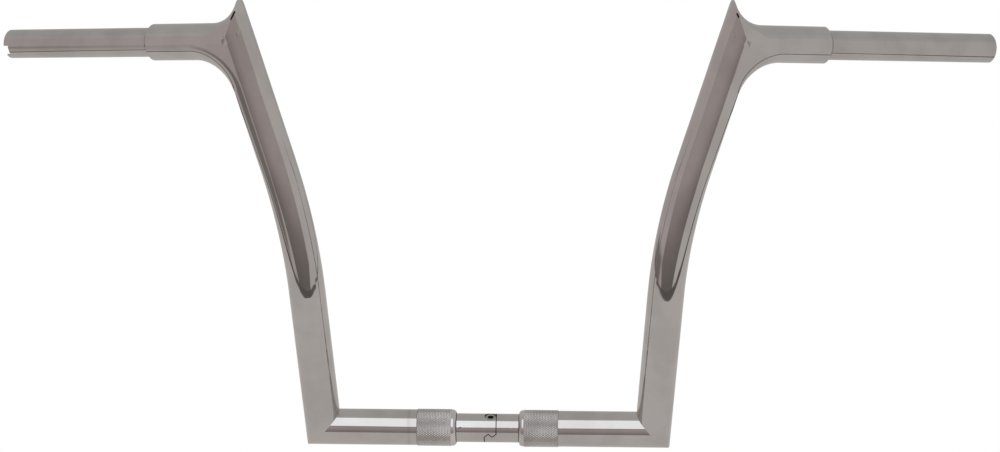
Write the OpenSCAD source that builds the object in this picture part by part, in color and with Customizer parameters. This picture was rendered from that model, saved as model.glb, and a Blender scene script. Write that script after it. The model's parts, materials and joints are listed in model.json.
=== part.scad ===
// Tall motorcycle handlebar in two halves, mitred and pointed, joined at the middle by one screw.
// Millimetres. The origin is on the clamp axis at mid-bar: +X to the clutch side, +Y to the rider, +Z up.

/* [Overall shape] */
// Distance between the two risers where they leave the crossbar
base_span = 293; // [240:1:360]
// Height of the grip axis above the clamp axis, measured at the riser
rise = 345.5; // [300:0.5:420]
// Outward lean of the lower riser
lower_lean = 4; // [0:0.5:8]
// Outward lean of the upper riser
upper_lean = 19; // [10:0.5:26]
// Lean of the upper riser back towards the rider
upper_setback = 18; // [8:0.5:26]
// Height where the lower and upper riser axes cross
bend_height = 192.5; // [160:0.5:220]
// Radius of the riser's bend, on its axis
bend_radius = 300; // [200:10:340]
// Sweep of the grips back towards the rider
grip_sweep = 22.5; // [10:0.5:30]
// Droop of the grips towards their outer ends
grip_droop = 8.7; // [0:0.1:14]

/* [Tubes] */
// Outside diameter of the crossbar, risers and stubs
tube_d = 31.75; // [28:0.05:38.1]
// Wall of those tubes
tube_wall = 3.4; // [2.5:0.1:4]
// Outside diameter of the grips and of the middle of the bar
grip_d = 25.4; // [24:0.1:28]
// Wall of the grip tubes
grip_wall = 2.1; // [1.6:0.1:3]

/* [Grips and stubs] */
// Length of each stub, from the riser's axis to its outer end
stub_reach = 87; // [76:1:110]
// Clutch grip's outer end, from the riser's axis
clutch_reach = 250; // [220:1:300]
// Throttle grip's outer end, from the riser's axis
throttle_reach = 238; // [220:1:300]
// Length of grip tube held inside a stub
grip_spigot = 38; // [25:1:44]
// Bevel at a stub's outer end
stub_bevel = 3; // [1:0.1:3.2]
// Bevel at a grip tube's outer end
grip_bevel = 0.8; // [0.2:0.1:1.5]
// Depth of the sensor slot in the throttle grip's end
slot_depth = 5; // [3:0.5:14]
// Width of that slot
slot_width = 9.5; // [6:0.5:12]
// Direction the slot faces, around the grip
slot_angle = 291; // [0:1:359]

/* [Pointed corners] */
// Radius of the hollow curve between a point and its stub
point_radius = 32; // [26:1:38]
// Where that curve leaves the stub, from the riser's axis
point_run = 23.8; // [22:0.2:28]
// Thickness of the cap that closes a riser's pointed end
cap_thickness = 3; // [2:0.1:4]
// Radius of the weld fillet under the corner
fillet_radius = 38; // [28:1:48]

/* [Clamp area] */
// Bare middle of the bar, between the collars
middle_length = 55.6; // [50:0.2:70]
// Length of one clamp collar with its shoulder
collar_length = 34.8; // [28:0.2:40]
// Outside diameter of the knurled collars
collar_d = 32.3; // [32.2:0.05:38.7]
// Round on a collar's shoulder
shoulder_round = 3; // [1:0.1:3.1]
// Length of middle bar held inside each crossbar tube
bar_spigot = 30; // [15:1:45]

/* [Middle joint] */
// Upper seam, from mid-bar towards the clutch side
upper_seam = 8; // [6.5:0.1:10]
// Lower seam, from mid-bar towards the throttle side
lower_seam = 2.8; // [2.5:0.1:5]
// Height of the teeth between the two halves
tooth_height = 3; // [1:0.1:4]
// Diameter of the lock screw's head
screw_head_d = 10; // [9:0.1:10.4]
// Height of the lock screw's head
screw_head_h = 5; // [4:0.1:6]
// Diameter of the lock screw's thread
screw_d = 6; // [5:0.1:6.4]
// Width across the screw's hexagon socket
screw_socket = 5; // [4:0.1:5.2]
// Turn of the whole joint about the bar, which faces the screw a little to the front
joint_turn = 5; // [0:1:12]

/* [Fits] */
// Gap all round a slip fit
slip_fit = 0.05; // [0.02:0.01:0.1]
// Gap between the faces of the two halves
seam_gap = 0.25; // [0.05:0.01:0.3]
// Clearance around the screw where it is free
screw_clearance = 0.3; // [0.2:0.05:0.5]

/* [Hidden] */
$fn = 96;
tube_r = tube_d / 2;
bore_r = tube_r - tube_wall;
grip_r = grip_d / 2;
spigot_r = bore_r - slip_fit;
collar_r = collar_d / 2;
collar_start = middle_length / 2;
collar_end = collar_start + collar_length;
half_span = base_span / 2;

// Directions of the two riser legs and of the grip, on the clutch side
lower_dir = [sin(lower_lean), 0, cos(lower_lean)];
upper_raw = [tan(upper_lean), tan(upper_setback), 1];
upper_dir = upper_raw / norm(upper_raw);
grip_dir = [cos(grip_sweep) * cos(grip_droop), sin(grip_sweep) * cos(grip_droop), -sin(grip_droop)];

// A vector seen from a frame turned by heading about Z and then by tip about Y
function seen(v, heading, tip) =
    let (x = v[0] * cos(heading) + v[1] * sin(heading), y = v[1] * cos(heading) - v[0] * sin(heading))
    [x * cos(tip) - v[2] * sin(tip), y, x * sin(tip) + v[2] * cos(tip)];

// The bend between the legs
bend_angle = acos(lower_dir * upper_dir);
bend_tangent = bend_radius * tan(bend_angle / 2);
lower_leg = bend_height / cos(lower_lean);
upper_seen = seen(upper_dir, 0, lower_lean);
bend_turn = atan2(upper_seen[1], upper_seen[0]);
bend_lap = 1;

// The knuckle, where riser and grip axes cross
upper_leg = (rise - bend_height) / upper_dir[2];
knuckle = [half_span, 0, 0] + lower_dir * lower_leg + upper_dir * upper_leg;
riser_heading = atan2(upper_dir[1], upper_dir[0]);
riser_tip = acos(upper_dir[2]);
grip_seen = seen(grip_dir, riser_heading, riser_tip);
grip_turn = atan2(grip_seen[1], grip_seen[0]);
crook = acos(grip_seen[2]);

mitre_turn = (90 - lower_lean) / 2;
point_tube_r = tube_r + slip_fit;
point_top = point_radius + tube_r;
weld_tube_r = tube_r - 2 * slip_fit;
weld_radius = fillet_radius + weld_tube_r;
weld_tangent = weld_radius * tan(crook / 2);
block = 3 * tube_d;

// The middle joint's heights and the screw's place in it
tooth = tooth_height / 2;
tooth_run = (upper_seam + lower_seam) / 3;
tooth_slope = tooth_height / tooth_run;
tooth_slant = sqrt(1 + tooth_slope * tooth_slope);
screw_x = (upper_seam - lower_seam) / 2;
screw_top = sqrt(grip_r * grip_r - screw_head_d * screw_head_d / 4);
screw_seat = screw_top - screw_head_h;
screw_end = tooth_height - grip_r + tooth;
socket_depth = screw_head_h / 2;

module along_x() { rotate([0, 90, 0]) children(); }
module at_corner() { translate([half_span, 0, 0]) rotate([0, lower_lean, 0]) children(); }
module at_knuckle() {
    translate(knuckle) rotate([0, riser_tip, riser_heading]) rotate([0, 0, grip_turn]) children();
}
module at_grip() { at_knuckle() rotate([0, crook, 0]) children(); }

// A tube along Z from z = start to z = stop
module tube(outer, inner, start, stop) {
    difference() {
        translate([0, 0, start]) cylinder(r = outer, h = stop - start);
        translate([0, 0, start - 1]) cylinder(r = inner, h = stop - start + 2);
    }
}

// Everything beside the mitre, on the riser's side or on the crossbar's
module mitre_side(riser_side) {
    translate([half_span, 0, 0]) rotate([0, -mitre_turn, 0])
        translate([riser_side ? 0 : -2 * block, -block, -block]) cube(2 * block);
}

// The spool-shaped tool that hollows the pointed corner, grown by extra
module point_spool(extra) {
    rotate([0, crook, 0]) translate([-point_radius - point_tube_r, 0, point_run]) rotate([90, 0, 0])
        rotate_extrude() difference() {
            translate([0, -point_top]) square([point_radius + point_tube_r, 2 * point_top]);
            translate([point_radius + point_tube_r, 0]) circle(point_tube_r - extra);
        }
}

// ---- one side's pieces, drawn for the clutch side ----

module clamp_collar() {
    along_x() rotate_extrude() {
        translate([grip_r + slip_fit, collar_start])
            square([collar_r - shoulder_round - grip_r - slip_fit, collar_length]);
        translate([collar_r - shoulder_round, collar_start + shoulder_round])
            square([shoulder_round, collar_length - shoulder_round]);
        translate([collar_r - shoulder_round, collar_start + shoulder_round]) intersection() {
            circle(shoulder_round);
            translate([0, -shoulder_round]) square(shoulder_round);
        }
    }
}

module crossbar_tube() {
    difference() {
        along_x() tube(tube_r, bore_r, collar_end, half_span + tube_d);
        mitre_side(true);
    }
}

module riser_bend() {
    at_corner() rotate([0, 0, bend_turn]) translate([bend_radius, 0, lower_leg - bend_tangent])
        rotate([90, 0, 0]) rotate([0, 0, 180 - bend_angle]) rotate_extrude(angle = bend_angle)
            translate([bend_radius, 0]) difference() {
                circle(tube_r - slip_fit);
                circle(bore_r + slip_fit);
            }
}

module riser_tube() {
    difference() {
        at_corner() tube(tube_r, bore_r, -tube_d, lower_leg - bend_tangent + bend_lap);
        mitre_side(false);
    }
    riser_bend();
    at_knuckle() difference() {
        tube(tube_r, bore_r, bend_tangent - upper_leg - bend_lap, point_top);
        point_spool(0);
    }
}

module tip_cap() {
    at_knuckle() difference() {
        intersection() {
            cylinder(r = spigot_r, h = point_top);
            point_spool(cap_thickness);
        }
        point_spool(0);
    }
}

module grip_stub() {
    at_knuckle() difference() {
        rotate([0, crook, 0]) difference() {
            union() {
                cylinder(r = tube_r, h = stub_reach - stub_bevel);
                translate([0, 0, stub_reach - stub_bevel])
                    cylinder(r1 = tube_r, r2 = tube_r - stub_bevel, h = stub_bevel);
            }
            translate([0, 0, -1]) cylinder(r = bore_r, h = stub_reach + 2);
        }
        translate([0, 0, -block]) cylinder(r = tube_r + slip_fit, h = 2 * block);
    }
}

module knuckle_weld() {
    at_knuckle() difference() {
        translate([weld_radius, 0, -weld_tangent]) rotate([90, 0, 0]) rotate([0, 0, 180 - crook])
            rotate_extrude(angle = crook) translate([weld_radius, 0]) circle(weld_tube_r);
        translate([0, 0, -block]) cylinder(r = tube_r + slip_fit, h = 2 * block);
        rotate([0, crook, 0]) translate([0, 0, -block]) cylinder(r = tube_r + slip_fit, h = 2 * block);
    }
}

module grip_tube(reach) {
    at_grip() difference() {
        union() {
            translate([0, 0, stub_reach - grip_spigot]) cylinder(r = spigot_r, h = grip_spigot);
            translate([0, 0, stub_reach]) cylinder(r = grip_r, h = reach - stub_reach - grip_bevel);
            translate([0, 0, reach - grip_bevel]) cylinder(r1 = grip_r, r2 = grip_r - grip_bevel, h = grip_bevel);
        }
        translate([0, 0, stub_reach - grip_spigot - 1]) cylinder(r = grip_r - grip_wall, h = reach);
    }
}

// The cut for the throttle sensor's tab
module sensor_slot() {
    at_grip() rotate([0, 0, slot_angle])
        translate([0, -slot_width / 2, throttle_reach - slot_depth]) cube([tube_d, slot_width, tube_d]);
}

// ---- the middle joint ----

// The bar from mid-bar outwards, before the toothed lap is cut
module bar_blank() {
    along_x() translate([0, 0, -upper_seam]) cylinder(r = grip_r, h = collar_end + upper_seam);
    along_x() translate([0, 0, collar_end]) cylinder(r = spigot_r, h = bar_spigot);
}

// The clutch half's side of the joint, seen along Y before the joint's turn, with its edge moved out by gap
module lap_area(gap) {
    rise_gap = gap * tooth_slant;
    side_gap = gap * (tooth_slant - tooth_slope);
    translate([0, tube_d, 0]) rotate([90, 0, 0]) linear_extrude(2 * tube_d) polygon([
        [-lower_seam - gap, -tube_d], [-lower_seam - gap, side_gap - tooth],
        [tooth_run - lower_seam, tooth + rise_gap], [2 * tooth_run - lower_seam, rise_gap - tooth],
        [upper_seam - gap, tooth + side_gap], [upper_seam - gap, tube_d],
        [half_span, tube_d], [half_span, -tube_d]]);
}

module clutch_bar() {
    difference() {
        intersection() {
            bar_blank();
            rotate([joint_turn, 0, 0]) lap_area(0);
        }
        rotate([joint_turn, 0, 0]) translate([screw_x, 0, screw_end - 1])
            cylinder(r = screw_d / 2 + slip_fit, h = tube_d);
    }
}

module throttle_bar() {
    difference() {
        mirror([1, 0, 0]) bar_blank();
        rotate([joint_turn, 0, 0]) {
            lap_area(seam_gap);
            translate([screw_x, 0, -tube_r]) cylinder(r = screw_d / 2 + screw_clearance, h = tube_d);
            translate([screw_x, 0, screw_seat]) cylinder(r = screw_head_d / 2 + screw_clearance, h = tube_d);
        }
    }
}

module screw() {
    rotate([joint_turn, 0, 0]) translate([screw_x, 0, 0]) difference() {
        union() {
            translate([0, 0, screw_end]) cylinder(r = screw_d / 2, h = screw_seat - screw_end + socket_depth / 2);
            translate([0, 0, screw_seat]) cylinder(r = screw_head_d / 2, h = screw_head_h);
        }
        translate([0, 0, screw_top - socket_depth])
            cylinder(r = screw_socket / sqrt(3), h = screw_head_h, $fn = 6);
    }
}

// ---- named pieces ----

module lock_screw() { color([0.62, 0.62, 0.62]) screw(); }
module clutch_centre_bar() { color([0.80, 0.80, 0.82]) clutch_bar(); }
module clutch_clamp_collar() { color([0.55, 0.55, 0.57]) clamp_collar(); }
module clutch_crossbar_tube() { color([0.82, 0.82, 0.84]) crossbar_tube(); }
module clutch_riser_tube() { color([0.84, 0.84, 0.86]) riser_tube(); }
module clutch_grip_stub() { color([0.80, 0.80, 0.83]) grip_stub(); }
module clutch_tip_cap() { color([0.78, 0.78, 0.80]) tip_cap(); }
module clutch_knuckle_weld() { color([0.76, 0.76, 0.79]) knuckle_weld(); }
module clutch_grip_tube() { color([0.82, 0.82, 0.85]) grip_tube(clutch_reach); }

module throttle_centre_bar() { color([0.80, 0.80, 0.82]) throttle_bar(); }
module throttle_clamp_collar() { color([0.55, 0.55, 0.57]) mirror([1, 0, 0]) clamp_collar(); }
module throttle_crossbar_tube() { color([0.82, 0.82, 0.84]) mirror([1, 0, 0]) crossbar_tube(); }
module throttle_riser_tube() { color([0.84, 0.84, 0.86]) mirror([1, 0, 0]) riser_tube(); }
module throttle_grip_stub() { color([0.80, 0.80, 0.83]) mirror([1, 0, 0]) grip_stub(); }
module throttle_tip_cap() { color([0.78, 0.78, 0.80]) mirror([1, 0, 0]) tip_cap(); }
module throttle_knuckle_weld() { color([0.76, 0.76, 0.79]) mirror([1, 0, 0]) knuckle_weld(); }
module throttle_grip_tube() {
    color([0.82, 0.82, 0.85]) mirror([1, 0, 0]) difference() {
        grip_tube(throttle_reach);
        sensor_slot();
    }
}

lock_screw();
clutch_centre_bar();
clutch_clamp_collar();
clutch_crossbar_tube();
clutch_riser_tube();
clutch_grip_stub();
clutch_tip_cap();
clutch_knuckle_weld();
clutch_grip_tube();
throttle_centre_bar();
throttle_clamp_collar();
throttle_crossbar_tube();
throttle_riser_tube();
throttle_grip_stub();
throttle_tip_cap();
throttle_knuckle_weld();
throttle_grip_tube();
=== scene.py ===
# %% [markdown]
# # A tall chromed handlebar, made in two halves
# The steel tubes, the mitred corners and the screwed middle already exist as a imported frame with every
# size fixed. This lesson gives them their finish, and builds the five pieces whose surface is
# finer than the frame draws: the two knuckles under the points, the two knurled clamp collars and the
# socket screw that locks the halves.

import json
import math

import bpy
import numpy as np
from mathutils import Matrix, Vector


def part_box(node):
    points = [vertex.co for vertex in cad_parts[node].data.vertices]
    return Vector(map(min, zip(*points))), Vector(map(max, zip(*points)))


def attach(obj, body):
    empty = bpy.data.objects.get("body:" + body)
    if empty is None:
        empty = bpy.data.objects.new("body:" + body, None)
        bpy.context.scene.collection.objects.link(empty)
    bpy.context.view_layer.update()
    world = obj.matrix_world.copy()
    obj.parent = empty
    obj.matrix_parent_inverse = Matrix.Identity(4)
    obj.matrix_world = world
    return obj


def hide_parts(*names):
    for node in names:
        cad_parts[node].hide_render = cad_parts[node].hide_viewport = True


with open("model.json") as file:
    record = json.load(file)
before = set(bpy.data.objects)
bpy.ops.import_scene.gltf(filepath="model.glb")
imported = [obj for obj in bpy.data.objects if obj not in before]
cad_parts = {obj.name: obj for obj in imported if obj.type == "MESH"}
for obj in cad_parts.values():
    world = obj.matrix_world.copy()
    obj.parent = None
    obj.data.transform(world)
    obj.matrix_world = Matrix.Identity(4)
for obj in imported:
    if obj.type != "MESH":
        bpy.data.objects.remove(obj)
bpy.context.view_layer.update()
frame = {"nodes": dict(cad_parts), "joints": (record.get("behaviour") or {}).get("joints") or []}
nodes = frame["nodes"]

# %% [markdown]
# ## Where things are
# The bar lies along X with its middle at the origin. Its sizes could be typed in again, but two copies of
# a size drift apart, so a size that shows in a node's box is read from it. Some don't show in any box, such
# as the way a slanting tube points, the height of a tooth or the screw's shank. Those are typed in beside
# the piece that uses them, and have to be changed with the frame. The middle joint is turned a few degrees
# about the bar, and its slide axis in the record says by how much.

# %% Sizes read from the frame
MM = 0.001
TURN = 2 * math.pi

collar_low, collar_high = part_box("clutch_clamp_collar")
screw_low, screw_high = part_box("lock_screw")
bar_low, bar_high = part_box("clutch_centre_bar")
throttle_bar_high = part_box("throttle_centre_bar")[1]

COLLAR_START = collar_low.x
COLLAR_END = collar_high.x
COLLAR_R = collar_high.z
BAR_R = bar_high.z
SCREW_X = (screw_low.x + screw_high.x) / 2
HEAD_R = (screw_high.x - screw_low.x) / 2
LOWER_SEAM = bar_low.x
UPPER_SEAM = throttle_bar_high.x
slide = Vector(frame["joints"][0]["axis"])
JOINT_TURN = math.atan2(-slide.y, slide.z)
print(f"collar {COLLAR_START / MM:.1f} to {COLLAR_END / MM:.1f} mm, bar radius {BAR_R / MM:.2f} mm")
print(f"joint turned {math.degrees(JOINT_TURN):.1f} degrees, screw at {SCREW_X / MM:.1f} mm")

# %% [markdown]
# ## The camera
# A long lens a little over two metres away flattens the two halves as a catalogue picture does. The camera
# could be aimed with a Track To constraint, but a small roll is wanted as well, so its axes are worked out
# from three angles: round the object, up, and about its own line of sight.

# %% Camera
AROUND, ABOVE, ROLL = math.radians(2.68), math.radians(24), math.radians(-0.67)
DISTANCE = 2.2
TARGET = Vector((0.01284, 0, 0.19653))
LENS, SENSOR = 92.37, 36


def aim(around, above, roll):
    """Matrix whose columns are the camera's right, up and backward axes."""
    level_share = math.cos(above)
    back = Vector((math.sin(around) * level_share, -math.cos(around) * level_share, math.sin(above)))
    level = Vector((0, 0, 1)).cross(back).normalized()
    rise = back.cross(level)
    right = math.cos(roll) * level + math.sin(roll) * rise
    up = math.cos(roll) * rise - math.sin(roll) * level
    return Matrix((right, up, back)).transposed().to_4x4(), back


axes, back = aim(AROUND, ABOVE, ROLL)
lens = bpy.data.cameras.new("camera")
lens.sensor_width = SENSOR
lens.lens = LENS
camera = bpy.data.objects.new("camera", lens)
bpy.context.scene.collection.objects.link(camera)
axes.translation = TARGET + back * DISTANCE
camera.matrix_world = axes
bpy.context.scene.camera = camera
bpy.context.scene.view_settings.view_transform = "Standard"
print("camera at", [round(c, 3) for c in axes.translation])

# %% [markdown]
# ## Helpers for shader nodes
# Wiring nodes one by one is long and hides the idea. Two small helpers keep it short: one adds a node and
# fills its inputs, each with either a value or another node's output, and one adds a Math node.

# %% Node helpers
def feed(tree, node, inputs):
    """Gives each input a value, or links it to the output that feeds it."""
    for socket, value in inputs.items():
        if isinstance(value, bpy.types.NodeSocket):
            tree.links.new(value, node.inputs[socket])
        else:
            node.inputs[socket].default_value = value


def add(tree, kind, inputs=None, **settings):
    """A new node of that kind. inputs maps a socket to a value or to the output that feeds it."""
    node = tree.nodes.new(kind)
    for name, value in settings.items():
        setattr(node, name, value)
    feed(tree, node, inputs or {})
    return node


def calc(tree, operation, first, second=0.0, third=0.0):
    """The output of a Math node."""
    return add(tree, "ShaderNodeMath", {0: first, 1: second, 2: third}, operation=operation).outputs[0]


def smooth(tree, value, start, end, low=0.0, high=1.0):
    """Value eased from low at start to high at end."""
    inputs = {"Value": value, "From Min": start, "From Max": end, "To Min": low, "To Max": high}
    return add(tree, "ShaderNodeMapRange", inputs, interpolation_type="SMOOTHSTEP").outputs[0]


def blend_colour(tree, factor, first, second):
    """A colour that goes from first to second as factor goes from 0 to 1."""
    inputs = {"Factor": factor, "A": first, "B": second}
    return add(tree, "ShaderNodeMix", inputs, data_type="RGBA").outputs["Result"]


def new_group(name, inputs, outputs):
    """An empty shader group with named sockets, and its input and output nodes."""
    group = bpy.data.node_groups.new(name, "ShaderNodeTree")
    for label, (kind, default) in inputs.items():
        socket = group.interface.new_socket(label, in_out="INPUT", socket_type="NodeSocket" + kind)
        if default is not None:
            socket.default_value = default
    for label, kind in outputs.items():
        group.interface.new_socket(label, in_out="OUTPUT", socket_type="NodeSocket" + kind)
    return group, group.nodes.new("NodeGroupInput").outputs, group.nodes.new("NodeGroupOutput")


def place(tree, group, inputs):
    """The outputs of a group placed in a tree with its own values."""
    node = tree.nodes.new("ShaderNodeGroup")
    node.node_tree = group
    feed(tree, node, inputs)
    return node.outputs


# %% [markdown]
# ## The room that the chrome mirrors
# Polished chrome has almost no colour of its own: what one sees on it is the room. A real studio has a big
# soft light overhead in front, a darker room behind the camera, pale walls at the sides and a pale table.
# Area lights alone would leave the mirror black between them, and a picture of a room would need an image
# file, so the room is a world shader: colours set by the direction that a ray takes.
#
# The dark front narrows towards the floor, so that it leaves the sides of the steep tubes pale. The light
# has a thin dark frame along its lower edge. One more dark patch, a doorway low in the left wall, gives
# the left riser the dark side that a room with one door would.

# %% World
def rgb(red, green, blue):
    """A colour with full alpha."""
    return (red, green, blue, 1.0)


WHITE = rgb(1, 1, 1)
FRONT_STOPS = ((-90, rgb(0.50, 0.47, 0.45)), (-30, rgb(0.15, 0.135, 0.12)), (-18, rgb(0.19, 0.17, 0.155)),
               (-8, rgb(0.24, 0.205, 0.195)), (2, rgb(0.32, 0.275, 0.265)), (14, rgb(0.40, 0.35, 0.335)),
               (27, rgb(0.43, 0.38, 0.365)), (36, rgb(0.50, 0.48, 0.46)), (90, rgb(0.52, 0.51, 0.50)))
LEFT_WALL = rgb(0.505, 0.450, 0.440)
RIGHT_WALL = rgb(0.555, 0.525, 0.505)
BACK_WALL = rgb(0.48, 0.465, 0.45)
CEILING = rgb(0.57, 0.545, 0.53)
CORNICE = rgb(0.26, 0.25, 0.25)
DOORWAY = rgb(0.19, 0.17, 0.155)
LAMP_FRAME = rgb(0.14, 0.13, 0.14)
LAMP_LEFT = rgb(1.28, 1.29, 1.33)
LAMP_RIGHT = rgb(0.95, 0.95, 0.99)


def front_ramp(tree, height):
    """The dark room in front, by height on the sphere: darkest low down, paler and warmer upwards."""
    ramp = add(tree, "ShaderNodeValToRGB", {"Fac": calc(tree, "MULTIPLY_ADD", height, 0.5, 0.5)})
    points = ramp.color_ramp.elements
    while len(points) < len(FRONT_STOPS):
        points.new(0.5)
    for point, (angle, colour) in zip(points, FRONT_STOPS):
        point.position = math.sin(math.radians(angle)) / 2 + 0.5
        point.color = colour
    return ramp.outputs["Color"]


def side_colour(tree, height, across):
    """The side walls, warm on the left and neutral on the right, under a faint cornice and a ceiling."""
    wall = blend_colour(tree, smooth(tree, across, -0.2, 0.2), LEFT_WALL, RIGHT_WALL)
    above = blend_colour(tree, smooth(tree, height, 0.70, 0.76), wall, CEILING)
    cornice = calc(tree, "MULTIPLY", smooth(tree, height, 0.68, 0.715), smooth(tree, height, 0.76, 0.725))
    return blend_colour(tree, calc(tree, "MULTIPLY", cornice, 0.35), above, CORNICE)


def band(tree, value, start, end, edge):
    """1 between start and end, easing to 0 over the edge's width on both sides."""
    opening = smooth(tree, value, start - edge, start)
    return calc(tree, "MULTIPLY", opening, smooth(tree, value, end + edge, end))


def front_reach(tree, height):
    """How far the dark front goes to each side: less towards the floor, in proportion to height."""
    inputs = {"Value": height, "From Min": -0.46, "From Max": -0.18, "To Min": 0.36, "To Max": 0.74}
    return add(tree, "ShaderNodeMapRange", inputs).outputs[0]


def doorway_mask(tree, bearing, height):
    """1 in the doorway: a range of bearings on the left, in degrees, and of heights below the middle."""
    wide = band(tree, bearing, -108.0, -66.0, 14.0)
    tall = band(tree, height, -0.36, -0.17, 0.07)
    return calc(tree, "MULTIPLY", wide, tall)


def build_room():
    """The world: front room, side walls and overhead light, plain white where the camera looks at it.

    Bearing is the angle round from straight ahead, and tilt the angle up from there, in degrees."""
    world = bpy.data.worlds.new("studio")
    bpy.context.scene.world = world
    world.use_nodes = True
    tree = world.node_tree
    tree.nodes.clear()
    way = add(tree, "ShaderNodeTexCoord").outputs["Generated"]
    part = add(tree, "ShaderNodeSeparateXYZ", {0: way}).outputs
    forward = calc(tree, "MULTIPLY", part["Y"], -1.0)
    tilt = calc(tree, "DEGREES", calc(tree, "ARCTAN2", part["Z"], forward))
    back_half = smooth(tree, forward, 0.05, -0.15)
    front = blend_colour(tree, back_half, front_ramp(tree, part["Z"]), BACK_WALL)
    sideways = calc(tree, "DIVIDE", part["X"], front_reach(tree, part["Z"]))
    middle = band(tree, sideways, -1.04, 0.94, 0.08)
    room = blend_colour(tree, middle, side_colour(tree, part["Z"], part["X"]), front)
    bearing = calc(tree, "DEGREES", calc(tree, "ARCTAN2", part["X"], forward))
    doorway = calc(tree, "MULTIPLY", doorway_mask(tree, bearing, part["Z"]), 0.9)
    room = blend_colour(tree, doorway, room, DOORWAY)
    near = band(tree, part["X"], -0.26, 0.26, 0.16)
    lamp_frame = calc(tree, "MULTIPLY", near, band(tree, tilt, 27.5, 29.0, 1.5))
    room = blend_colour(tree, calc(tree, "MULTIPLY", lamp_frame, 0.7), room, LAMP_FRAME)
    light = calc(tree, "MULTIPLY", near, band(tree, tilt, 31.0, 84.0, 2.0))
    lamp = blend_colour(tree, smooth(tree, part["X"], -0.05, 0.16), LAMP_LEFT, LAMP_RIGHT)
    seen = blend_colour(tree, light, room, lamp)
    is_camera = add(tree, "ShaderNodeLightPath").outputs["Is Camera Ray"]
    colour = blend_colour(tree, is_camera, seen, WHITE)
    shade = add(tree, "ShaderNodeBackground", {"Color": colour}).outputs[0]
    add(tree, "ShaderNodeOutputWorld", {"Surface": shade})
    print("room:", len(tree.nodes), "nodes")


build_room()

# %% [markdown]
# ## The table
# The bar stands a hand above a round, pale table. Its curved front edge draws the thin dark line along the
# grips and the dark blade in the bend of each riser, so it is a real disc and not part of the world: what
# each tube mirrors then depends on how high it is. The rim is a narrow dark ring.

# %% Table
TABLE_Z = -0.088
TABLE_CENTRE = Vector((-0.03, 0.22))
TABLE_R = 0.76
RIM_R = 0.82
PINHOLE_R = 0.001
TABLE_TOP = rgb(0.58, 0.55, 0.53)
TABLE_RIM = rgb(0.13, 0.11, 0.105)


def glow(name, colour):
    """A material that shines with one colour in mirrors and is plain white to the camera."""
    material = bpy.data.materials.new(name)
    material.use_nodes = True
    tree = material.node_tree
    tree.nodes.clear()
    is_camera = add(tree, "ShaderNodeLightPath").outputs["Is Camera Ray"]
    shown = blend_colour(tree, is_camera, colour, WHITE)
    shine = add(tree, "ShaderNodeEmission", {0: shown}).outputs[0]
    add(tree, "ShaderNodeOutputMaterial", {"Surface": shine})
    return material


def grid_faces(rows, columns, close_rows=False):
    """Quads between neighbours of a rows by columns grid whose columns go all the way round."""
    steps = rows if close_rows else rows - 1
    row, column = np.meshgrid(np.arange(steps), np.arange(columns), indexing="ij")
    here, after = row * columns, (row + 1) % rows * columns
    beside = (column + 1) % columns
    corners = (here + column, after + column, after + beside, here + beside)
    return np.stack(corners, axis=-1).reshape(-1, 4)


def make_object(name, points, faces):
    """A mesh object from an array of points and a list of faces."""
    mesh = bpy.data.meshes.new(name)
    mesh.from_pydata(points.reshape(-1, 3).tolist(), [], faces)
    mesh.validate()
    piece = bpy.data.objects.new(name, mesh)
    bpy.context.scene.collection.objects.link(piece)
    return piece


def shell_object(name, points, faces, sharp_angle):
    """A smooth shaded mesh object, with hard edges where faces meet at more than an angle in degrees."""
    piece = make_object(name, points, faces)
    piece.data.shade_smooth()
    piece.data.set_sharp_from_angle(angle=math.radians(sharp_angle))
    return piece


def build_table(steps=96):
    """A disc: each ring of points is radius times (cos, sin) of the angle round it."""
    radii = np.array([PINHOLE_R, TABLE_R / 2, TABLE_R, RIM_R])
    angle = np.arange(steps) / steps * TURN
    x = TABLE_CENTRE.x + radii[:, None] * np.cos(angle)
    y = TABLE_CENTRE.y + radii[:, None] * np.sin(angle)
    points = np.stack((x, y, np.full_like(x, TABLE_Z)), axis=-1)
    table = make_object("table", points, grid_faces(len(radii), steps).tolist())
    table.data.materials.append(glow("table_top", TABLE_TOP))
    table.data.materials.append(glow("table_rim", TABLE_RIM))
    is_rim = (np.arange(len(table.data.polygons)) >= 2 * steps).astype(np.int32)
    table.data.polygons.foreach_set("material_index", is_rim)
    print("table:", len(table.data.polygons), "faces,", int(is_rim.sum()), "on the rim")


build_table()

# %% [markdown]
# ## Wear and polish, shared by every chromed piece
# Buffed chrome isn't perfectly even. It has soft clouds where the wheel pressed harder, hairlines that only
# show in the highlights, and a very slight wave that bends straight reflections. All chromed pieces share
# these, so they are one node group, placed in each material with its own amounts.

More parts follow.
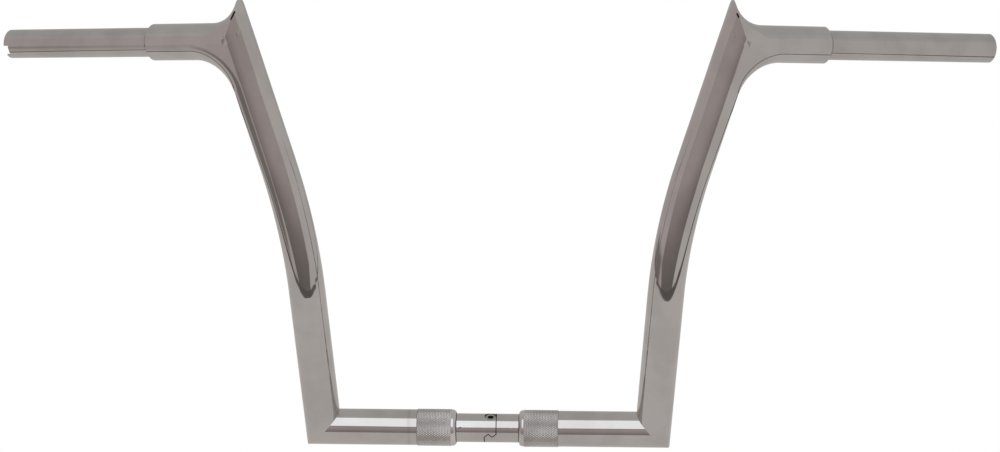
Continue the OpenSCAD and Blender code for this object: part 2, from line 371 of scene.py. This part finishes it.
# %% Polish group
def build_polish():
    """Clouds, hairlines and waves from three noises of very different size, read in object space."""
    inputs = {"Place": ("Vector", None), "Gloss": ("Float", 0.05), "Clouds": ("Float", 0.03),
              "Hairlines": ("Float", 0.02), "Light": ("Color", rgb(0.62, 0.61, 0.60)),
              "Dull": ("Color", rgb(0.56, 0.54, 0.53))}
    outputs = {"Colour": "Color", "Roughness": "Float", "Height": "Float"}
    group, given, result = new_group("polish", inputs, outputs)
    place_at = given["Place"]
    cloud = add(group, "ShaderNodeTexNoise", {"Vector": place_at, "Scale": 38.0, "Detail": 3.0}).outputs[0]
    cloud = smooth(group, cloud, 0.35, 0.68)
    stretch = {"Vector": place_at, "Scale": (260.0, 900.0, 2600.0)}
    stretched = add(group, "ShaderNodeMapping", stretch).outputs[0]
    hair = add(group, "ShaderNodeTexNoise", {"Vector": stretched, "Scale": 1.0, "Detail": 2.0}).outputs[0]
    hair = smooth(group, hair, 0.56, 0.74)
    wave = add(group, "ShaderNodeTexNoise", {"Vector": place_at, "Scale": 22.0, "Detail": 1.0}).outputs[0]
    rough = calc(group, "MULTIPLY_ADD", cloud, given["Clouds"], given["Gloss"])
    rough = calc(group, "MULTIPLY_ADD", hair, given["Hairlines"], rough)
    dullness = calc(group, "MULTIPLY_ADD", hair, 0.25, calc(group, "MULTIPLY", cloud, 0.75))
    group.links.new(blend_colour(group, dullness, given["Light"], given["Dull"]), result.inputs["Colour"])
    group.links.new(rough, result.inputs["Roughness"])
    group.links.new(wave, result.inputs["Height"])
    return group


POLISH = build_polish()
print("polish group:", len(POLISH.nodes), "nodes")

# %% [markdown]
# ## Marks along a line
# Where two parts meet, the edge is broken, chrome is thin and dirt collects, so each seam is a fine dark
# line. It could be painted on an unwrapped texture. Here the distance from a point to a straight stretch is
# worked out instead, because the same few nodes then draw the toothed seam, the ring beside each collar
# and the two small strokes of painted shade under the saddles at the foot of the points.

# %% Line mark group
def vector_calc(tree, operation, first, second, output="Vector"):
    """An output of a Vector Math node."""
    return add(tree, "ShaderNodeVectorMath", {0: first, 1: second}, operation=operation).outputs[output]


def build_line_mark():
    """1 on the stretch from A to B, easing to 0 at Width from it.

    The nearest point of the stretch is A plus (B - A) times (P - A).(B - A) / (B - A).(B - A), held
    between 0 and 1."""
    inputs = {"Place": ("Vector", None), "A": ("Vector", None), "B": ("Vector", None),
              "Width": ("Float", 0.4 * MM)}
    group, given, result = new_group("line_mark", inputs, {"Mark": "Float"})
    from_a = vector_calc(group, "SUBTRACT", given["Place"], given["A"])
    along = vector_calc(group, "SUBTRACT", given["B"], given["A"])
    reach = vector_calc(group, "DOT_PRODUCT", from_a, along, output="Value")
    whole = vector_calc(group, "DOT_PRODUCT", along, along, output="Value")
    share = calc(group, "MINIMUM", calc(group, "MAXIMUM", calc(group, "DIVIDE", reach, whole), 0.0), 1.0)
    scaled = add(group, "ShaderNodeVectorMath", {0: along, "Scale": share}, operation="SCALE").outputs[0]
    distance = vector_calc(group, "DISTANCE", from_a, scaled, output="Value")
    shrunk = calc(group, "DIVIDE", distance, given["Width"])
    group.links.new(smooth(group, shrunk, 1.0, 0.45), result.inputs["Mark"])
    return group


LINE_MARK = build_line_mark()
print("line mark group:", len(LINE_MARK.nodes), "nodes")

# %% [markdown]
# ## The chrome itself
# Chrome is a metal with a cool grey of about 0.6 and a near mirror finish. Metallic is 1 everywhere, and
# the polish group varies colour and roughness. A mark, where there is one, darkens the metal and makes it
# rough: along seams and rings as bare steel and old polish in a crevice are, and elsewhere as painted shade
# in the saddle strokes and the screw's socket and head rim.

# %% Chrome
def start_material(name):
    """A new material with its Principled shader, its tree and the object coordinates."""
    material = bpy.data.materials.new(name)
    material.use_nodes = True
    tree = material.node_tree
    shader = next(node for node in tree.nodes if node.type == "BSDF_PRINCIPLED")
    shader.inputs["Metallic"].default_value = 1.0
    place_at = add(tree, "ShaderNodeTexCoord").outputs["Object"]
    return material, tree, shader, place_at


# The dark colour of every mark: bare steel along seams and rings, and painted shade in the saddle strokes
# and the screw's socket and head rim.
BARE_STEEL_AND_SHADE = rgb(0.030, 0.027, 0.025)
BARE_ROUGHNESS = 0.6
FLAT_WAVE = 0.02 * MM
TURNED_WAVE = 0.03 * MM


def finish_chrome(tree, shader, polish, mark=None, wave=FLAT_WAVE):
    """Connects the polish, and a dark rough mark over it where one is given."""
    colour, rough = polish["Colour"], polish["Roughness"]
    if mark is not None:
        colour = blend_colour(tree, mark, colour, BARE_STEEL_AND_SHADE)
        rough = calc(tree, "MAXIMUM", rough, calc(tree, "MULTIPLY", mark, BARE_ROUGHNESS))
    bump = add(tree, "ShaderNodeBump", {"Height": polish["Height"], "Strength": 1.0, "Distance": wave})
    tree.links.new(colour, shader.inputs["Base Color"])
    tree.links.new(rough, shader.inputs["Roughness"])
    tree.links.new(bump.outputs[0], shader.inputs["Normal"])


def strongest(tree, marks):
    """The largest of several marks."""
    total = marks[0]
    for mark in marks[1:]:
        total = calc(tree, "MAXIMUM", total, mark)
    return total


def line_marks(tree, place_at, stretches, width):
    """The marks of several stretches, each a pair of points."""
    marks = []
    for a, b in stretches:
        values = {"Place": place_at, "A": a, "B": b, "Width": width}
        marks.append(place(tree, LINE_MARK, values)["Mark"])
    return strongest(tree, marks)


print("chrome helpers ready")

# %% [markdown]
# ## Tubes and grips
# The crossbar, risers, stubs and welds are one plating job, so they share a material. A small dark stroke
# at the foot of each point is painted shade under the saddle's edge, and the one on the clutch side is
# shorter. The grip tubes are handled and fitted with controls, so they are a touch duller.

# %% Tube and grip chrome
# Ends of the stroke of painted shade under the saddle on the throttle side; the clutch side has a shorter
# mirrored copy.
SHADE_STROKE_HEAD = Vector((-0.2127, 0.0444, 0.3738))
SHADE_STROKE_FOOT = Vector((-0.2155, 0.0409, 0.3687))
SHADE_STROKE_WIDTH = 1.1 * MM
SHADE_STROKE_SHARE = 0.45
GRIND_X = -69.5 * MM
GRIND_WIDTH = 2.4 * MM
GRIND_TINT = 0.10


def mirrored(point):
    """The same point on the clutch side."""
    return Vector((-point.x, point.y, point.z))


def tube_chrome():
    """Bright chrome with two small strokes of painted shade under the saddles, and a faint dark band where
    the collar's weld was ground.
    """
    material, tree, shader, place_at = start_material("tube_chrome")
    polish = place(tree, POLISH, {"Place": place_at, "Gloss": 0.030, "Clouds": 0.028, "Hairlines": 0.02})
    short = SHADE_STROKE_HEAD.lerp(SHADE_STROKE_FOOT, SHADE_STROKE_SHARE)
    stretches = ((SHADE_STROKE_FOOT, SHADE_STROKE_HEAD), (mirrored(short), mirrored(SHADE_STROKE_HEAD)))
    # Painted shade under the saddles, at the foot of each point.
    painted_shade_strokes = line_marks(tree, place_at, stretches, SHADE_STROKE_WIDTH)
    along = add(tree, "ShaderNodeSeparateXYZ", {0: place_at}).outputs["X"]
    off_band = calc(tree, "ABSOLUTE", calc(tree, "SUBTRACT", along, GRIND_X))
    ground = smooth(tree, off_band, GRIND_WIDTH, GRIND_WIDTH / 4, 0.0, GRIND_TINT)
    finish_chrome(tree, shader, polish, calc(tree, "MAXIMUM", painted_shade_strokes, ground))
    return material


def grip_chrome():
    """Slightly duller chrome for the two grip tubes."""
    material, tree, shader, place_at = start_material("grip_chrome")
    values = {"Place": place_at, "Gloss": 0.045, "Clouds": 0.05, "Hairlines": 0.04,
              "Light": rgb(0.60, 0.585, 0.575), "Dull": rgb(0.52, 0.50, 0.49)}
    finish_chrome(tree, shader, place(tree, POLISH, values), wave=TURNED_WAVE)
    return material


TUBE_CHROME = tube_chrome()
GRIP_CHROME = grip_chrome()
print("tube and grip chrome made")

# %% [markdown]
# ## The ground knuckles
# Where each stub leaves its riser, weld metal fills the corner and is ground flush before plating, so on
# the real bar the front runs from one tube to the other with no crease. The frame only holds two tubes and
# an elbow that cross. A boolean with a bevel would leave a rough rim. Here the shape is worked out in the
# plane of the two axes: a flat web lies between the axes and two arcs, and everything is one tube radius
# away from it. Height over the plane is R times sqrt(1 - (distance / R)^2), which meets both tubes
# smoothly.

# %% Knuckle shape
TUBE_R = 15.875 * MM
KNUCKLE = Vector((212.643, 49.713, 345.5)) * MM
RISER_WAY = Vector((math.tan(math.radians(19)), math.tan(math.radians(18)), 1)).normalized()
GRIP_WAY = Vector((0.91325, 0.37828, -0.15126)).normalized()
CROOK = RISER_WAY.angle(GRIP_WAY)
LOWER_ARC = 38 * MM + TUBE_R
UPPER_ARC = 32 * MM + TUBE_R
UPPER_RUN = 23.8 * MM
LOWER_RUN = LOWER_ARC * math.tan(CROOK / 2)
BLEND_END = LOWER_RUN + 6 * MM
PROUD = 0.08 * MM
SINK_RUN = 5 * MM
RIM_SHARE = 0.9998
WEB_POINT = (9 * MM, -8 * MM)
LONGEST_RAY = 90 * MM
RAY_STEPS = 3000
FIRST_RING = 0.004


def to_arc(depth, run, tangent, radius):
    """Distance beyond an arc that leaves an axis at its tangent point: depth, once past that point."""
    return radius - np.hypot(radius - depth, np.minimum(run - tangent, 0))


def web_shape(across, up):
    """Distance from the flat web in radii, the radius there, and whether the blend stops there.

    Across and up are measured from the crossing of the axes, square to the riser and along it. The radius
    is a hair over the tubes' own, and sinks a hair under it towards each end of the blend."""
    along = across * math.sin(CROOK) + up * math.cos(CROOK)
    below = across * math.cos(CROOK) - up * math.sin(CROOK)
    beyond_lower = np.where(along > LOWER_RUN, below, to_arc(across, -up, LOWER_RUN, LOWER_ARC))
    beyond_lower = np.where(-up > LOWER_RUN, across, beyond_lower)
    beyond_upper = to_arc(-below, along, UPPER_RUN, UPPER_ARC)
    distance = np.maximum(np.maximum(-across, beyond_upper), np.maximum(beyond_lower, 0))
    reach = np.maximum(along, -up)
    to_end = (reach - LOWER_RUN / 2) / (BLEND_END - LOWER_RUN / 2)
    to_point = 1 + np.minimum(-across, beyond_upper) / SINK_RUN
    radius = TUBE_R + PROUD * (1 - 2 * np.clip(np.maximum(to_end, to_point), 0, 1))
    return distance / radius, radius, (reach > BLEND_END) | ((across < 0) & (beyond_upper > 0))


def build_knuckle(name, side, rings=44, columns=288):
    """A closed shell of rings about a point in the web, front and back alike.

    On each ray from that point, the last ring is where the tube's edge or the end of the blend is met."""
    angle = np.arange(columns) / columns * TURN
    ray = np.stack((np.cos(angle), np.sin(angle)))[:, None, :]
    start = np.array(WEB_POINT)[:, None, None]
    trial = np.linspace(0, LONGEST_RAY, RAY_STEPS)[None, :, None]
    share, _, stops = web_shape(*(start + ray * trial))
    last = trial[0, np.maximum(((share > RIM_SHARE) | stops).argmax(axis=0) - 1, 1), 0]
    step = np.sin(np.linspace(FIRST_RING, math.pi / 2, rings))[None, :, None]
    across, up = start + ray * step * last
    share, radius, _ = web_shape(across, up)
    height = radius * np.sqrt(1 - np.minimum(share, RIM_SHARE) ** 2)
    across, up = np.concatenate((across, across[::-1])), np.concatenate((up, up[::-1]))
    height = np.concatenate((-height, height[::-1]))
    square = (GRIP_WAY - GRIP_WAY.dot(RISER_WAY) * RISER_WAY).normalized()
    axes = np.array((square, RISER_WAY.cross(square), RISER_WAY))
    points = np.stack((across, height, up), axis=-1) @ axes + np.array(KNUCKLE)
    points *= np.array((side, 1, 1))
    rows = len(across)
    poles = np.array([np.arange(columns)[::-1], np.arange(columns) + (rows - 1) * columns])
    faces = [face[::-side] for face in grid_faces(rows, columns).tolist() + poles.tolist()]
    return shell_object(name, points, faces, 40)


for half, side in (("clutch", 1), ("throttle", -1)):
    knuckle = build_knuckle(half + "_ground_knuckle", side)
    knuckle.data.materials.append(TUBE_CHROME)
    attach(knuckle, half + "_half")
    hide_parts(half + "_knuckle_weld")
    print(knuckle.name, len(knuckle.data.polygons), "faces")

# %% [markdown]
# ## The middle bar
# The two halves meet in a lap with teeth: a straight seam, a zigzag of three slopes, and a straight seam
# again. The seam is drawn in the plane of the teeth, by dropping the coordinate that runs across the joint,
# after the joint's own turn is taken out. Rings mark where the bar leaves each collar, and one small
# punched mark shows which way round the halves go.

# %% Middle bar chrome
TOOTH_HEIGHT = 3 * MM
SEAM_WIDTH = 0.55 * MM
RING_WIDTH = 0.5 * MM
PUNCH_X = -24.3 * MM
PUNCH_LENGTH = 1.6 * MM
PUNCH_ABOVE = math.radians(28)


def seam_corners():
    """Corners of the toothed seam in the plane of the joint, from the bottom of the bar to the top."""
    step = (UPPER_SEAM - LOWER_SEAM) / 3
    half = TOOTH_HEIGHT / 2
    outline = ((LOWER_SEAM, -BAR_R), (LOWER_SEAM, -half), (LOWER_SEAM + step, half),
               (LOWER_SEAM + 2 * step, -half), (UPPER_SEAM, half), (UPPER_SEAM, BAR_R))
    return [(x, 0, z) for x, z in outline]


def bar_chrome():
    """Turned and plated bar with its seam, collar rings and punched mark."""
    material, tree, shader, place_at = start_material("bar_chrome")
    values = {"Place": place_at, "Gloss": 0.055, "Clouds": 0.04, "Hairlines": 0.05}
    polish = place(tree, POLISH, values)
    unturn = {"Vector": place_at, "Rotation": (-JOINT_TURN, 0, 0)}
    turned = add(tree, "ShaderNodeMapping", unturn).outputs[0]
    flat = vector_calc(tree, "MULTIPLY", turned, (1, 0, 1))
    corners = seam_corners()
    seam = line_marks(tree, flat, list(zip(corners, corners[1:])), SEAM_WIDTH)
    away = calc(tree, "ABSOLUTE", add(tree, "ShaderNodeSeparateXYZ", {0: place_at}).outputs["X"])
    off_ring = calc(tree, "ABSOLUTE", calc(tree, "SUBTRACT", away, COLLAR_START))
    ring = smooth(tree, off_ring, RING_WIDTH, RING_WIDTH / 3)
    middle = Vector((PUNCH_X, -BAR_R * math.cos(PUNCH_ABOVE), BAR_R * math.sin(PUNCH_ABOVE)))
    half = Vector((PUNCH_LENGTH / 2, 0, PUNCH_LENGTH / 3))
    punch = line_marks(tree, place_at, ((middle - half, middle + half),), SEAM_WIDTH)
    finish_chrome(tree, shader, polish, strongest(tree, [seam, ring, punch]), wave=TURNED_WAVE)
    return material


BAR_CHROME = bar_chrome()
print("seam corners, mm:", [(round(x / MM, 1), round(z / MM, 1)) for x, _, z in seam_corners()])

# %% [markdown]
# ## The knurled collars
# A clamp would slip on smooth chrome, so each collar is diamond knurled: a wheel presses two sets of fine
# grooves that cross at an angle and leave small pyramids. A bump map could fake it, but the knurl breaks
# the outline too and is the roughest thing on the bar, so here it is real geometry. The collar is a profile
# turned round the bar's axis. On the knurled stretch the radius also gains the lower of two ridged waves,
# one that winds to the left and one to the right, which makes a pyramid wherever two ridges cross.

# %% Collar shape
KNURL_STARTS = 64
KNURL_SLANT = math.radians(30)
KNURL_HEIGHT = 0.45 * MM
KNURL_GAP = 4.6 * MM
SHOULDER_R = 3.2 * MM
LAND_DROP = 0.12 * MM
STEPS_PER_DIAMOND = 8
COLUMNS_PER_START = 6
COLLAR_BORE = BAR_R + 0.05 * MM


def ridges(turns):
    """A zigzag that is 0 in each groove and 1 on each ridge, once for every whole turn."""
    return 1 - np.abs(2 * (turns - np.floor(turns)) - 1)


def collar_profile():
    """Places along the bar and radii from the bore at the outer end, over the outside, back to the bore.

    The shoulder is a quarter circle. The knurled stretch has eight steps to each diamond."""
    land = COLLAR_R - LAND_DROP
    diamond = TURN * COLLAR_R / KNURL_STARTS / math.tan(KNURL_SLANT)
    knurl_end = COLLAR_START + KNURL_GAP
    count = int(round((COLLAR_END - knurl_end) / diamond * STEPS_PER_DIAMOND))
    knurl = np.linspace(COLLAR_END - 0.35 * MM, knurl_end, count)
    quarter = np.linspace(0, math.pi / 2, 13)
    shoulder_x = COLLAR_START + SHOULDER_R * (1 - np.sin(quarter))
    shoulder_r = land - SHOULDER_R * (1 - np.cos(quarter))
    inner = np.array([COLLAR_BORE + 0.12 * MM, COLLAR_BORE])
    x = np.concatenate(([COLLAR_END, COLLAR_END], knurl, [knurl_end - 0.2 * MM], shoulder_x,
                        [COLLAR_START, COLLAR_START + 0.3 * MM]))
    r = np.concatenate(([COLLAR_BORE, land - 0.15 * MM], np.full(count, land), [land], shoulder_r, inner))
    rough = np.concatenate(([0, 0], np.ones(count), np.zeros(len(x) - count - 2)))
    return x, r, rough, diamond


def build_collar(name, side):
    """A collar on the clutch side (side 1) or the throttle side (side -1)."""
    x, r, rough, diamond = collar_profile()
    columns = KNURL_STARTS * COLUMNS_PER_START
    angle = np.arange(columns) / columns * TURN
    round_turns = KNURL_STARTS * angle[None, :] / TURN
    along_turns = x[:, None] / diamond
    pyramids = np.minimum(ridges(round_turns + along_turns), ridges(round_turns - along_turns))
    radius = r[:, None] + rough[:, None] * KNURL_HEIGHT * pyramids
    points = np.stack((side * np.broadcast_to(x[:, None], radius.shape), radius * np.cos(angle),
                       side * radius * np.sin(angle)), axis=-1)
    faces = grid_faces(len(x), columns, close_rows=True)[:, ::-1].tolist()
    return shell_object(name, points, faces, 32)


def collar_chrome():
    """Chrome over knurl: rough where it is cut, darker down in the grooves, smooth on the shoulder."""
    material, tree, shader, place_at = start_material("knurled_chrome")
    values = {"Place": place_at, "Gloss": 0.12, "Clouds": 0.10, "Hairlines": 0.02,
              "Light": rgb(0.76, 0.75, 0.74), "Dull": rgb(0.58, 0.56, 0.55)}
    polish = place(tree, POLISH, values)
    part = add(tree, "ShaderNodeSeparateXYZ", {0: place_at}).outputs
    out = calc(tree, "SQRT", calc(tree, "ADD", calc(tree, "POWER", part["Y"], 2.0),
                                      calc(tree, "POWER", part["Z"], 2.0)))
    # Darker down in the grooves of the knurl, by depth under the tops of the ridges.
    groove = smooth(tree, out, COLLAR_R - 0.10 * MM, COLLAR_R + 0.04 * MM, 0.75, 0.0)
    away = calc(tree, "ABSOLUTE", part["X"])
    cut = smooth(tree, away, COLLAR_START + KNURL_GAP - 0.3 * MM, COLLAR_START + KNURL_GAP + 0.3 * MM)
    dark_in_grooves = calc(tree, "MULTIPLY", groove, cut)
    foot = smooth(tree, away, COLLAR_START + 0.5 * MM, COLLAR_START + 0.1 * MM, 0.0, 0.8)
    finish_chrome(tree, shader, polish, calc(tree, "MAXIMUM", dark_in_grooves, foot))
    return material


KNURLED_CHROME = collar_chrome()
for half, side in (("clutch", 1), ("throttle", -1)):
    collar = build_collar(half + "_knurled_collar", side)
    collar.data.materials.append(KNURLED_CHROME)
    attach(collar, half + "_half")
    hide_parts(half + "_clamp_collar")
    print(collar.name, len(collar.data.polygons), "faces")

# %% [markdown]
# ## The lock screw
# One socket screw clamps the lap. It is turned on a lathe, so it is a profile again, but two stretches
# aren't round: the socket is a hexagon, and the thread winds. Both fit the same grid of rows along the
# profile and columns round it. In the socket the radius is the hexagon's, apothem over the cosine of the
# angle to the nearest flat. On the thread the radius falls and rises with height minus pitch times turns.

# %% Screw shape
HEAD_TOP = math.sqrt(BAR_R**2 - HEAD_R**2)
HEAD_HEIGHT = 5 * MM
SHANK_R = 3 * MM
SHANK_END = -8.2 * MM
SOCKET_FLAT = 2.5 * MM
SOCKET_DEPTH = 2.6 * MM
THREAD_PITCH = 1 * MM
THREAD_DEPTH = 0.55 * MM
STEPS_PER_TURN = 8
HEAD_KNURLS = 48
HEAD_KNURL_DEPTH = 0.12 * MM
POLE_R = 0.02 * MM
HEXAGON, SIDE_KNURL, THREAD = 1, 2, 3


def screw_profile():
    """Rows of (height, radius, kind) from the middle of the socket, over the head, to the shank's end.

    Kind is HEXAGON, SIDE_KNURL or THREAD, or 0 where the row is a plain circle."""
    seat = HEAD_TOP - HEAD_HEIGHT
    bevel = 0.5 * MM
    rows = [(HEAD_TOP - SOCKET_DEPTH - 0.8 * MM, POLE_R, 0),
            (HEAD_TOP - SOCKET_DEPTH, SOCKET_FLAT, HEXAGON), (HEAD_TOP - 0.35 * MM, SOCKET_FLAT, HEXAGON),
            (HEAD_TOP, SOCKET_FLAT * 1.2, 0), (HEAD_TOP, HEAD_R - bevel, 0),
            (HEAD_TOP - 0.15 * MM, HEAD_R - 0.2 * MM, 0), (HEAD_TOP - bevel, HEAD_R, 0),
            (HEAD_TOP - 2 * bevel, HEAD_R, SIDE_KNURL), (seat + bevel, HEAD_R, SIDE_KNURL),
            (seat, HEAD_R - 0.2 * MM, 0), (seat, SHANK_R, 0), (seat - 1.5 * MM, SHANK_R, 0)]
    start = seat - 1.6 * MM
    count = int((start - SHANK_END) / THREAD_PITCH * STEPS_PER_TURN)
    heights = np.linspace(start, SHANK_END + 0.8 * MM, count)
    thread = np.stack((heights, np.full_like(heights, SHANK_R), np.full_like(heights, THREAD)), axis=-1)
    tip = [(SHANK_END + 0.6 * MM, SHANK_R - THREAD_DEPTH, 0), (SHANK_END, SHANK_R - 2 * THREAD_DEPTH, 0),
           (SHANK_END, POLE_R, 0)]
    return np.concatenate((np.array(rows), thread, np.array(tip)))


def build_screw(columns=144):
    """The screw, standing on the joint's own turned axis."""
    z, r, kind = (column[:, None] for column in screw_profile().T)
    angle = (np.arange(columns) / columns * TURN)[None, :]
    sixth = TURN / 6
    to_flat = (angle + sixth / 2) % sixth - sixth / 2
    winding = ridges(z / THREAD_PITCH - angle / TURN)
    grooved = r - HEAD_KNURL_DEPTH * ridges(HEAD_KNURLS * angle / TURN)
    radius = np.where(kind == HEXAGON, r / np.cos(to_flat), r)
    radius = np.where(kind == SIDE_KNURL, grooved, radius)
    radius = np.where(kind == THREAD, r - THREAD_DEPTH * winding, radius)
    x, y, height = radius * np.cos(angle), radius * np.sin(angle), np.broadcast_to(z, radius.shape)
    lean, stand = math.sin(JOINT_TURN), math.cos(JOINT_TURN)
    points = np.stack((x + SCREW_X, y * stand - height * lean, y * lean + height * stand), axis=-1)
    rows = len(z)
    caps = np.array([np.arange(columns)[::-1], np.arange(columns) + (rows - 1) * columns])
    faces = grid_faces(rows, columns)[:, ::-1].tolist() + caps.tolist()
    return shell_object("socket_screw", points, faces, 30)


RINGS_PER_METRE = 9000.0


def screw_steel():
    """Plain steel, brushed in rings round the screw, with painted shade darkening the socket and a ring of
    painted shade round the head's rim.
    """
    material, tree, shader, place_at = start_material("screw_steel")
    turned = add(tree, "ShaderNodeMapping", {"Vector": place_at, "Rotation": (-JOINT_TURN, 0, 0),
                                             "Location": (-SCREW_X, 0, 0)}).outputs[0]
    part = add(tree, "ShaderNodeSeparateXYZ", {0: turned}).outputs
    out = calc(tree, "SQRT", calc(tree, "ADD", calc(tree, "POWER", part["X"], 2.0),
                                      calc(tree, "POWER", part["Y"], 2.0)))
    rings = {"W": calc(tree, "MULTIPLY", out, RINGS_PER_METRE), "Scale": 1.0}
    ring_noise = add(tree, "ShaderNodeTexNoise", rings, noise_dimensions="1D").outputs[0]
    values = {"Place": place_at, "Gloss": 0.20, "Clouds": 0.10, "Hairlines": 0.05,
              "Light": rgb(0.50, 0.49, 0.47), "Dull": rgb(0.38, 0.37, 0.36)}
    polish = place(tree, POLISH, values)
    # Painted shade: the socket is darkened below the head's top, and a dark ring is painted round the
    # head's rim.
    inside = smooth(tree, out, SOCKET_FLAT * 1.16, SOCKET_FLAT * 1.02)
    below = smooth(tree, part["Z"], HEAD_TOP - 0.2 * MM, HEAD_TOP - 0.6 * MM, 0.0, 0.9)
    socket_shade = calc(tree, "MULTIPLY", inside, below)
    edge = smooth(tree, out, HEAD_R - 0.45 * MM, HEAD_R - 0.1 * MM, 0.0, 0.9)
    finish_chrome(tree, shader, polish, calc(tree, "MAXIMUM", socket_shade, edge))
    rough = calc(tree, "MULTIPLY_ADD", ring_noise, 0.2, polish["Roughness"])
    tree.links.new(rough, shader.inputs["Roughness"])
    return material


SCREW_STEEL = screw_steel()
screw = build_screw()
screw.data.materials.append(SCREW_STEEL)
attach(screw, "lock_screw")
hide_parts("lock_screw")
print(screw.name, len(screw.data.polygons), "faces")

# %% [markdown]
# ## Finish on every other node
# The remaining nodes have the right shape already, so they only take a material. A CAD node keeps its own
# mesh untouched: its material slot is emptied and filled with the finish of its kind.

# %% Assign finishes
FINISHES = {"centre_bar": BAR_CHROME, "clamp_collar": KNURLED_CHROME, "grip_tube": GRIP_CHROME,
            "lock_screw": SCREW_STEEL}


def finish_of(name):
    """The material of a node, by the last words of its name."""
    return next((material for ending, material in FINISHES.items() if name.endswith(ending)), TUBE_CHROME)


for name, piece in sorted(nodes.items()):
    piece.data.materials.clear()
    piece.data.materials.append(finish_of(name))
    print(name, "->", piece.data.materials[0].name)
